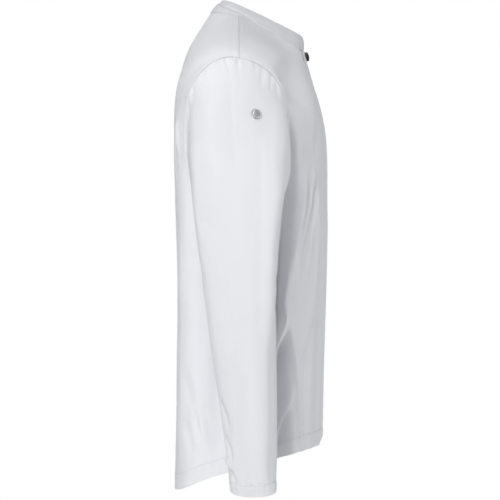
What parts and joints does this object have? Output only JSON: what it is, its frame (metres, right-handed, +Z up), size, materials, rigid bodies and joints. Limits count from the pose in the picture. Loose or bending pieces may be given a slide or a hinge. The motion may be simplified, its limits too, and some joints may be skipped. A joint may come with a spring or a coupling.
{
  "type": "long-sleeved work shirt, worn form with no wearer",
  "caption": "Long-sleeved white work shirt with a narrow stand collar, hidden front fastening and longer back, filled out as when worn.",
  "frame": {"origin": "mid-point between the neck ends of the two shoulder seams, where the wearer's shoulders hold the shirt", "axes": "+Z up, the front faces -Y, the wearer's right is -X"},
  "size_m": [0.68, 0.2381, 0.7475],
  "materials": {
    "cloth": "fine white twill, matt with a faint sheen",
    "snap": "black satin enamel",
    "badge_metal": "satin silver"
  },
  "bodies": {
    "root": {"back": "cloth", "front_left": "cloth", "front_right": "cloth", "placket": "cloth", "collar": "cloth", "sleeve_left": "cloth", "sleeve_right": "cloth", "stud_cap": "snap", "badge": "badge_metal"}
  },
  "joints": []
}
